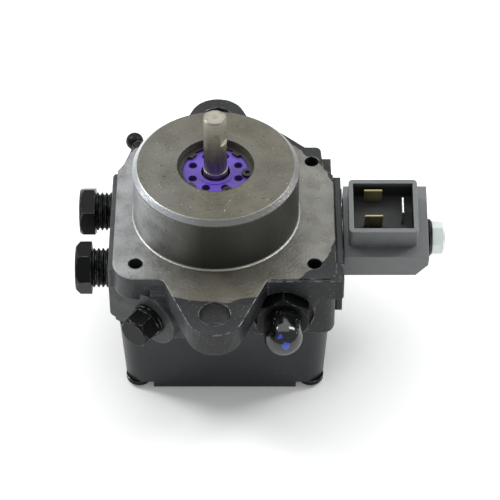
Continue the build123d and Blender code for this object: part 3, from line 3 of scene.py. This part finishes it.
import bpy
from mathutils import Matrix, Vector


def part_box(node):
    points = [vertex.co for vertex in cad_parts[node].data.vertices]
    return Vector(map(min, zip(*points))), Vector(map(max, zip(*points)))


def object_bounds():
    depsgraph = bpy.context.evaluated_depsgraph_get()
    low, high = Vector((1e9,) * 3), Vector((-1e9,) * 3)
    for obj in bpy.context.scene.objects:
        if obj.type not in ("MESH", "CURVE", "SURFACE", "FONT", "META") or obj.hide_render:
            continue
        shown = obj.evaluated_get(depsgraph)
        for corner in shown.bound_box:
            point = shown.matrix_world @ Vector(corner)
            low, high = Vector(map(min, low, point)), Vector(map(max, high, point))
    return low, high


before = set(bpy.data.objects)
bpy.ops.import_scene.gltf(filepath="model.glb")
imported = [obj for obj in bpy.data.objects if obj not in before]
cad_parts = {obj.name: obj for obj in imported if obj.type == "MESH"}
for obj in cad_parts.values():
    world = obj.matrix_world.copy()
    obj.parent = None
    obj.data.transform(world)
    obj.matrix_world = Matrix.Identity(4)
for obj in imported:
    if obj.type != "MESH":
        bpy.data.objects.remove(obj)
cad_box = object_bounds()

# ---------------------------------------------------------------- pump casting
# Sand-cast grey iron. The hub, the mounting face and the gauge boss are turned bare, with fine lathe
# rings and a little rust; the rest is sprayed with satin black paint that has rubbed thin on its edges.


def linear(code):
    """The linear colour, with alpha, of an sRGB hex code."""
    parts = [int(code[i : i + 2], 16) / 255 for i in (0, 2, 4)]
    parts = [c / 12.92 if c <= 0.04045 else ((c + 0.055) / 1.055) ** 2.4 for c in parts]
    return tuple(parts) + (1.0,)


def add(tree, kind, inputs, **settings):
    """One shader node with its settings; an input is linked if it is given a socket, and set if a value."""
    node = tree.nodes.new("ShaderNode" + kind)
    for name, value in settings.items():
        setattr(node, name, value)
    for key, value in inputs.items():
        if isinstance(value, bpy.types.NodeSocket):
            tree.links.new(value, node.inputs[key])
        else:
            node.inputs[key].default_value = value
    return node


def blots(tree, size_mm, low, high, detail=3.0, place=None):
    """Random blots about size_mm across, 0 where the noise is under low and 1 where it is over high."""
    place = place or add(tree, "TexCoord", {}).outputs["Object"]
    noise = add(tree, "TexNoise", {"Vector": place, "Scale": 1000 / size_mm, "Detail": detail})
    return fade(tree, noise.outputs[0], low, high)


def lay_over(tree, shader, mask, colour=None, roughness=None, metallic=None):
    """Lays another finish over what the shader already has, where mask is 1."""
    colour_slots = ("RGBA", 6, 2)
    number_slots = ("FLOAT", 2, 0)
    changes = (
        ("Base Color", colour, colour_slots),
        ("Roughness", roughness, number_slots),
        ("Metallic", metallic, number_slots),
    )
    for key, value, (kind, first, result) in changes:
        if value is None:
            continue
        socket = shader.inputs[key]
        below = socket.links[0].from_socket if socket.links else socket.default_value
        mix = add(tree, "Mix", {0: mask, first: below, first + 1: value}, data_type=kind)
        tree.links.new(mix.outputs[result], socket)


def both(tree, first, second, operation="MULTIPLY"):
    """Two masks or values put together: multiplied, unless another operation is named."""
    return add(tree, "Math", {0: first, 1: second}, operation=operation).outputs[0]


def fade(tree, value, start, end, top=1.0, bottom=0.0):
    """A ramp that is at bottom where value is at start, and at top where it is at end."""
    bounds = {"Value": value, "From Min": start, "From Max": end, "To Min": bottom, "To Max": top}
    return add(tree, "MapRange", bounds).outputs["Result"]


def blend(tree, mask, below, over):
    """One colour over another, where mask is 1."""
    return add(tree, "Mix", {0: mask, 6: below, 7: over}, data_type="RGBA").outputs[2]


def finish(
    name, colour, metallic, roughness, grain_mm, grain_depth_mm, edge_mm=0.3, mottle="000000", mottling=0.0
):
    """A surface of one colour with soft mottling, a fine grain and slightly rounded edges."""
    material = bpy.data.materials.new(name)
    material.use_nodes = True
    tree = material.node_tree
    shader = tree.nodes["Principled BSDF"]
    shader.inputs["Base Color"].default_value = linear(colour)
    shader.inputs["Metallic"].default_value = metallic
    shader.inputs["Roughness"].default_value = roughness
    rounded = add(tree, "Bevel", {"Radius": edge_mm / 1000}, samples=6).outputs[0]
    grain = blots(tree, grain_mm, 0.0, 1.0, detail=4.0)
    relief = {"Height": grain, "Distance": grain_depth_mm / 1000, "Normal": rounded, "Strength": 1.0}
    tree.links.new(add(tree, "Bump", relief).outputs[0], shader.inputs["Normal"])
    if mottling:
        cloud_mm = 9 * grain_mm
        cloud = both(tree, blots(tree, cloud_mm, 0.35, 0.7), mottling)
        lay_over(tree, shader, cloud, linear(mottle))
    return material, tree, shader


def edges(tree, radius_mm):
    """1 along the edges of the piece, 0 on its flats."""
    bend_start = 0.98
    bend_end = 0.88
    rounded = add(tree, "Bevel", {"Radius": radius_mm / 1000}, samples=6).outputs[0]
    flat = add(tree, "NewGeometry", {}).outputs["Normal"]
    match = add(tree, "VectorMath", {0: rounded, 1: flat}, operation="DOT_PRODUCT").outputs["Value"]
    return fade(tree, match, bend_start, bend_end)


def dress(material, *names):
    """Gives CAD nodes their material."""
    for name in names:
        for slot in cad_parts[name].material_slots:
            slot.material = material


def turned_rings(tree, pitch_mm):
    """Lathe rings about the shaft axis: noise read from radius and height only, a ring every pitch_mm."""
    place = add(tree, "SeparateXYZ", {0: add(tree, "TexCoord", {}).outputs["Object"]})
    flat = add(tree, "CombineXYZ", {0: place.outputs[0], 1: place.outputs[1]}).outputs[0]
    radius = add(tree, "VectorMath", {0: flat}, operation="LENGTH").outputs["Value"]
    ring = add(tree, "CombineXYZ", {0: radius, 1: place.outputs[2]}).outputs[0]
    return radius, place, blots(tree, pitch_mm, 0.3, 0.7, place=ring)


# Where the lathe, the wear and the painted light reach, in metres from the shaft's axis and from the mounting
# face.
BARE_RADIUS = 0.0432
BARE_LEFT = -0.014
BARE_FRONT = 0.002
RAGGED_EDGE = 0.0012
FACE_SKIN = 0.0004
HUB_WALL = 0.0283
HUB_RIM = 0.0203
CHAMFER_INSIDE = 0.0268
CHAMFER_FOOT = HUB_RIM + 0.0003
FOOT_OUTSIDE = 0.0292
FOOT_TOP = 0.0006
PAINTED_LIGHT_LEFT = -0.009
LATHE_PITCH_MM = 0.16

# Satin black over a sandy skin: it reads near black, with pale metal along the rubbed edges.
casting, tree, shader = finish("black_painted_cast_iron", "181a1b", 0.0, 0.44, 1.1, 0.14, 0.6, "232628", 0.7)
shader.inputs["Specular IOR Level"].default_value = 0.32
rub = both(tree, edges(tree, 0.8), blots(tree, 2.6, 0.40, 0.60))
lay_over(tree, shader, rub, linear("86868a"), 0.34, 0.6)
lay_over(tree, shader, both(tree, blots(tree, 0.9, 0.64, 0.70), 0.6), linear("6f6e66"), 0.6)
lay_over(tree, shader, both(tree, blots(tree, 11.0, 0.52, 0.80), 0.5), linear("3b3933"), 0.55)

# The turned faces end in a ragged line of paint, and on the left they run out to the corner.
radius, place, rings = turned_rings(tree, LATHE_PITCH_MM)
x, y, z = place.outputs
ragged = fade(tree, blots(tree, 9.0, 0.25, 0.75), 0.0, 1.0, RAGGED_EDGE, -RAGGED_EDGE)
inside = both(tree, both(tree, radius, ragged, "ADD"), BARE_RADIUS, "LESS_THAN")
corner = both(tree, both(tree, x, BARE_LEFT, "LESS_THAN"), both(tree, y, BARE_FRONT, "LESS_THAN"))
upper = both(tree, z, -FACE_SKIN, "GREATER_THAN")
bare = both(tree, both(tree, inside, corner, "MAXIMUM"), upper)

# Painted sheen round the axis, as turned iron throws it: lighter to the left and a little to the right, with
# painted shade towards the front; the hub's top is darker still.
side = both(tree, x, radius, "DIVIDE")
left_painted_sheen = fade(tree, side, -0.15, -0.8)
right_painted_sheen = fade(tree, side, 0.25, 0.9, top=0.35)
on_hub = both(tree, z, HUB_RIM, "GREATER_THAN")
painted_sheen = both(tree, left_painted_sheen, right_painted_sheen, "MAXIMUM")
painted_sheen = both(tree, painted_sheen, both(tree, 1.0, both(tree, on_hub, 0.75), "SUBTRACT"))
# A darker copy of the turned iron for the painted shade and a lighter copy for the painted sheen.
shaded_iron = blend(tree, rings, linear("68655b"), linear("7b786d"))
lit_iron = blend(tree, rings, linear("8e9091"), linear("a3a6a7"))
tone = blend(tree, painted_sheen, shaded_iron, lit_iron)
tone = blend(tree, both(tree, on_hub, 0.35), tone, linear("4b4941"))

# Over that lie clouds of oil, rust stains, casting pits and bright glints of fresh iron.
cloud = both(tree, blots(tree, 8.0, 0.38, 0.72, detail=5.0), 0.55)
tone = blend(tree, cloud, tone, linear("4f4c43"))
tone = blend(tree, blots(tree, 5.0, 0.55, 0.85), tone, linear("6e675b"))
tone = blend(tree, blots(tree, 0.7, 0.66, 0.71), tone, linear("2b2a27"))
tone = blend(tree, blots(tree, 0.6, 0.69, 0.74), tone, linear("d4cdb4"))
lay_over(tree, shader, bare, tone, 0.42, 0.7)

# Painted shade on the hub's wall: darkened all round except on its left, where the painted sheen is.
wall = both(tree, radius, HUB_WALL, "GREATER_THAN")
above = both(tree, z, FACE_SKIN, "GREATER_THAN")
below = both(tree, z, HUB_RIM, "LESS_THAN")
painted_shade_wall = both(tree, both(tree, wall, above), below)
lay_over(tree, shader, both(tree, painted_shade_wall, both(tree, 1.0, left_painted_sheen, "SUBTRACT")), linear("353530"), 0.5, 0.2)

# Corners that a hand or a cloth has polished: the hub's chamfer and its foot. The chamfer also has a painted
# highlight that makes it brightest on the left.
outer = both(tree, radius, CHAMFER_INSIDE, "GREATER_THAN")
rim = both(tree, outer, both(tree, z, CHAMFER_FOOT, "GREATER_THAN"))
polish_and_highlight = both(tree, 0.25, both(tree, left_painted_sheen, 0.75), "ADD")
lay_over(tree, shader, both(tree, rim, polish_and_highlight), linear("c3c7ca"), 0.3, 0.8)
foot = both(tree, both(tree, radius, FOOT_OUTSIDE, "LESS_THAN"), both(tree, z, FOOT_TOP, "LESS_THAN"))
foot = both(tree, foot, both(tree, wall, upper))
lay_over(tree, shader, both(tree, foot, 0.6), linear("b7b6ae"), 0.35, 0.8)

# Painted light: on its left, the casting below the face is painted a lighter grey, in patches.
painted_light_left = both(tree, both(tree, x, PAINTED_LIGHT_LEFT, "LESS_THAN"), both(tree, 1.0, upper, "SUBTRACT"))
lit_patches = fade(tree, blots(tree, 4.0, 0.3, 0.7), 0.0, 1.0, top=0.8, bottom=0.35)
lay_over(tree, shader, both(tree, painted_light_left, lit_patches), linear("46494a"), 0.38)
dress(casting, "pump_body")

# ---------------------------------------------------------------- rear cover and side plate
# The strainer cover is a die-cast cup and the side plate a steel pressing, both sprayed satin black
# after assembly; the paint is smoother than on the casting and a little bluer.

# Smooth satin black, a little bluer and glossier than the casting, scuffed pale at the corners.
cover_paint, tree, shader = finish("satin_black_paint", "16181b", 0.0, 0.36, 0.9, 0.03, 0.6, "1f2326", 0.5)
shader.inputs["Specular IOR Level"].default_value = 0.4
lay_over(tree, shader, both(tree, edges(tree, 0.5), blots(tree, 5.0, 0.5, 0.7)), linear("5c5e5e"), 0.45)
lay_over(tree, shader, both(tree, blots(tree, 0.8, 0.7, 0.75), 0.5), linear("7a7a74"), 0.6)
dress(cover_paint, "rear_cover", "side_plate", "side_plate_screws")

# Dull dark fibre that reads as a thin matt line between the painted pieces.
gasket, _, _ = finish("pressed_fibre_gasket", "1b1b1a", 0.0, 0.85, 0.4, 0.02)
dress(gasket, "cover_gasket", "side_gasket")

# ---------------------------------------------------------------- plugs and screws
# Hexagon plugs turned from steel bar and blackened in a hot oxide bath: deep black, slightly oily,
# with the steel showing grey where a spanner has rubbed the corners.

# Deep black with a weak sheen and bright worn corners.
oxide, tree, shader = finish("black_oxide_steel", "0f1010", 0.0, 0.36, 0.8, 0.02, 0.3, "080909", 0.6)
shader.inputs["Specular IOR Level"].default_value = 0.16
lay_over(tree, shader, both(tree, edges(tree, 0.4), blots(tree, 2.0, 0.45, 0.6)), linear("8b8c8c"), 0.35, 0.8)
dress(oxide, "inlet_plug_front", "inlet_plug_back", "bypass_plug", "gauge_plug", "gauge_plug_washer")
dress(oxide, "bleed_valve", "regulator_plug", "cover_bolts", "nozzle_plug", "coil_washer")

# ---------------------------------------------------------------- regulator cap nut
# A domed cap nut with a thick gloss black enamel. Dust sits on it, and the tester left two dabs of
# blue inspection lacquer on the dome.

DOME_CENTRE = 0.0055
DAB_RAGGED = 0.0006
DABS = (((-0.0012, -0.0038, 0.0050), 0.0009), ((0.0008, -0.0052, 0.0018), 0.0014))

# Wet-looking black that mirrors the lights as sharp highlights, with specks of dust and the blue dabs.
enamel, tree, shader = finish("gloss_black_enamel", "0b0c0d", 0.0, 0.12, 2.0, 0.01, 0.3)
shader.inputs["Specular IOR Level"].default_value = 0.8
lay_over(tree, shader, blots(tree, 0.6, 0.68, 0.73), linear("8d8b84"), 0.5)
cap_low, cap_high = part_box("cap_nut")
cap_axis = (cap_low + cap_high) / 2
place = add(tree, "TexCoord", {}).outputs["Object"]
for shift, size in DABS:
    spot = Vector((cap_axis.x, cap_low.y + DOME_CENTRE, cap_axis.z)) + Vector(shift)
    gap = add(tree, "VectorMath", {0: place, 1: tuple(spot)}, operation="DISTANCE").outputs["Value"]
    uneven = both(tree, gap, both(tree, blots(tree, 0.8, 0.2, 0.8), DAB_RAGGED), "ADD")
    dab = both(tree, uneven, size + DAB_RAGGED / 2, "LESS_THAN")
    lay_over(tree, shader, dab, linear("2c46b4"), 0.3)
dress(enamel, "cap_nut")

# ---------------------------------------------------------------- shaft and gears
# Ground steel bar. Grinding runs round the shaft, so the lines are rings a few hundredths apart, drawn
# here at a third of a millimetre so that they show. Thin rust has started in patches.

GRIND_PITCH_MM = 0.35

# Bright warm steel with faint rings, browned in places by rust.
ground, tree, shader = finish("ground_steel", "aaa69b", 1.0, 0.34, 0.5, 0.004, 0.2)
_, _, rings = turned_rings(tree, GRIND_PITCH_MM)
lay_over(tree, shader, rings, linear("8f8b80"), 0.42)
lay_over(tree, shader, both(tree, blots(tree, 3.0, 0.55, 0.75), 0.7), linear("6b5a45"), 0.55, 0.5)
dress(ground, "drive_shaft", "shaft_key", "pinion_gear", "ring_gear", "gear_plate", "gear_plate_screws")
dress(ground, "adjusting_screw", "spring_seat", "regulator_piston", "stem_tube", "plunger", "seal_case")

# Dark grey metal with a soft sheen and black clouding.
spring_steel, _, _ = finish("phosphated_spring_steel", "3c3a37", 0.7, 0.38, 0.7, 0.01, 0.15, "262523", 0.6)
dress(spring_steel, "retaining_ring", "seal_spring", "regulator_spring", "plunger_spring", "strainer_screen")

# Warm brown metal, dull from its open pores.
bronze, _, _ = finish("sintered_bronze", "9a6b3f", 1.0, 0.45, 0.3, 0.01)
dress(bronze, "front_bushing", "rear_bushing")

# ---------------------------------------------------------------- shaft seal
# A nitrile rubber lip and diaphragm stand behind a purple retainer with eight bleed holes. The rubber
# is pressed in a heated mould and the retainer is injection moulded in nylon.

# Matt black without highlights.
rubber, _, _ = finish("nitrile_rubber", "161616", 0.0, 0.6, 0.5, 0.01)
dress(rubber, "seal_lip", "seal_diaphragm", "plunger_seal")

# Strong purple with a waxy sheen and slightly darker clouds.
nylon, _, _ = finish("purple_moulded_nylon", "5b3fa6", 0.0, 0.42, 0.8, 0.01, 0.15, "46308a", 0.7)
dress(nylon, "seal_retainer")

# ---------------------------------------------------------------- solenoid coil
# Winding moulded into mid-grey glass-filled nylon, dull with pale scuffs along the edges; brass line
# blades, a tinned earth blade, and a bright zinc plated nut on the stem.

SOCKET_LEAN = radians(15.0)
SOCKET_OFFSET = 0.0019
SOCKET_HALF_X = 0.0107
SOCKET_HALF_Y = 0.0095
SHADE_TOP = 0.0084
SHADE_BOTTOM = 0.0058

# Mid grey and dull, with pale scuffs along the edges and pale specks of glass.
coil_nylon, tree, shader = finish("grey_moulded_nylon", "656868", 0.0, 0.46, 0.6, 0.012, 0.35, "5c5f5f", 0.6)
lay_over(tree, shader, both(tree, edges(tree, 0.45), blots(tree, 2.0, 0.35, 0.65)), linear("8c8e8e"), 0.5)
lay_over(tree, shader, both(tree, blots(tree, 0.7, 0.70, 0.75), 0.6), linear("a6a7a3"), 0.6)

# Painted shade: the inside of the socket is painted near black below its mouth. The mask is a box round the
# blades that leans
# with the socket: x across it, lean along its tilted floor and rise up its walls.
x, y, z = add(tree, "SeparateXYZ", {0: add(tree, "TexCoord", {}).outputs["Object"]}).outputs
blade_low, blade_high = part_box("line_terminals")
_, pin_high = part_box("earth_terminal")
blade = (blade_low + blade_high) / 2
socket_x = (blade_low.x + pin_high.x) / 2
socket_lean = blade.y * cos(SOCKET_LEAN) + blade.z * sin(SOCKET_LEAN) - SOCKET_OFFSET
lean = both(tree, both(tree, y, cos(SOCKET_LEAN)), both(tree, z, sin(SOCKET_LEAN)), "ADD")
rise = both(tree, both(tree, z, cos(SOCKET_LEAN)), both(tree, y, sin(SOCKET_LEAN)), "SUBTRACT")
off_x = both(tree, both(tree, x, socket_x, "SUBTRACT"), 0.0, "ABSOLUTE")
off_lean = both(tree, both(tree, lean, socket_lean, "SUBTRACT"), 0.0, "ABSOLUTE")
in_socket = both(
    tree, both(tree, off_x, SOCKET_HALF_X, "LESS_THAN"), both(tree, off_lean, SOCKET_HALF_Y, "LESS_THAN")
)
shade = both(tree, in_socket, fade(tree, rise, SHADE_TOP, SHADE_BOTTOM))
lay_over(tree, shader, shade, linear("242626"), 0.6)
dress(coil_nylon, "coil_housing")

# Unpigmented nylon: a warm off-white, dull.
pale_nylon, _, _ = finish("natural_moulded_nylon", "cfc9b6", 0.0, 0.5, 0.6, 0.01)
dress(pale_nylon, "coil_bobbin")

# Reddish brown wire under clear lacquer, with a soft shine.
copper, _, _ = finish("enamelled_copper_wire", "b0623a", 0.9, 0.35, 0.4, 0.05)
dress(copper, "coil_winding")

# Pale yellow metal, clouded dark by tarnish.
brass, _, _ = finish("stamped_brass", "c2b98a", 0.8, 0.34, 0.5, 0.004, 0.15, "6e6a50", 0.6)
dress(brass, "line_terminals", "valve_seat")

# Cool bright grey metal.
tin, _, _ = finish("tinned_brass", "c4c6ca", 1.0, 0.28, 0.5, 0.004, 0.15)
dress(tin, "earth_terminal")

# Near-white metal with a slight blue green cast and dull patches.
zinc, _, _ = finish("bright_zinc_plate", "e6efec", 0.2, 0.42, 0.8, 0.006, 0.3, "cdd8d4", 0.6)
dress(zinc, "coil_nut", "strainer_cap")

# ---------------------------------------------------------------- table, light and camera
# A plain white table in a pale room. A tall soft box stands above and a little behind each side of the
# pump, and a large one hangs overhead.

FLOOR_GAP = 0.00005
FLOOR_SIZE = 6.0
FLOOR_GLOW = 0.14
ROOM_LIGHT = 0.42

bpy.ops.object.select_all(action="DESELECT")
bpy.ops.mesh.primitive_plane_add(size=FLOOR_SIZE, location=(0, 0, cad_box[0][2] - FLOOR_GAP))
table = bpy.context.object
table.name = "table"
# Even near-white; its own faint glow keeps the shadow round the pump pale.
table_top, _, shader = finish("white_laminate", "f4f4f4", 0.0, 0.6, 5.0, 0.0)
shader.inputs["Emission Color"].default_value = linear("ffffff")
shader.inputs["Emission Strength"].default_value = FLOOR_GLOW
table.data.materials.append(table_top)

world = bpy.data.worlds.new("pale_room")
world.use_nodes = True
room = world.node_tree.nodes["Background"]
room.inputs["Color"].default_value = linear("f6f8fa")
room.inputs["Strength"].default_value = ROOM_LIGHT
bpy.context.scene.world = world


def soft_box(name, aim, distance, width, height, power):
    """A flat soft light that faces the pump from the direction aim."""
    light = bpy.data.lights.new(name, "AREA")
    light.shape = "RECTANGLE"
    light.size = width
    light.size_y = height
    light.energy = power
    lamp = bpy.data.objects.new(name, light)
    bpy.context.scene.collection.objects.link(lamp)
    direction = Vector(aim).normalized()
    lamp.location = direction * distance
    lamp.rotation_euler = direction.to_track_quat("Z", "Y").to_euler()


soft_box("left_soft_box", aim=(-0.602, 0.209, 0.579), distance=0.86, width=0.20, height=0.48, power=4.2)
soft_box("right_soft_box", aim=(0.648, 0.209, 0.579), distance=0.89, width=0.20, height=0.48, power=3.6)
soft_box("overhead_soft_box", aim=(0.0, 0.35, 1.0), distance=1.4, width=2.0, height=2.0, power=17.0)

CAMERA_AIM = Vector((0.011733, 0.0, -0.018999))
CAMERA_DISTANCE = 0.8116
CAMERA_TILT = radians(45.142)
SENSOR_MM = 36.0
LENS_MM = 165.6

camera_data = bpy.data.cameras.new("camera")
camera_data.sensor_width = SENSOR_MM
camera_data.lens = LENS_MM
camera = bpy.data.objects.new("camera", camera_data)
bpy.context.scene.collection.objects.link(camera)
camera.location = CAMERA_AIM + CAMERA_DISTANCE * Vector((0, -cos(CAMERA_TILT), sin(CAMERA_TILT)))
camera.rotation_euler = (pi / 2 - CAMERA_TILT, 0, 0)
bpy.context.scene.camera = camera
bpy.context.scene.view_settings.view_transform = "Standard"
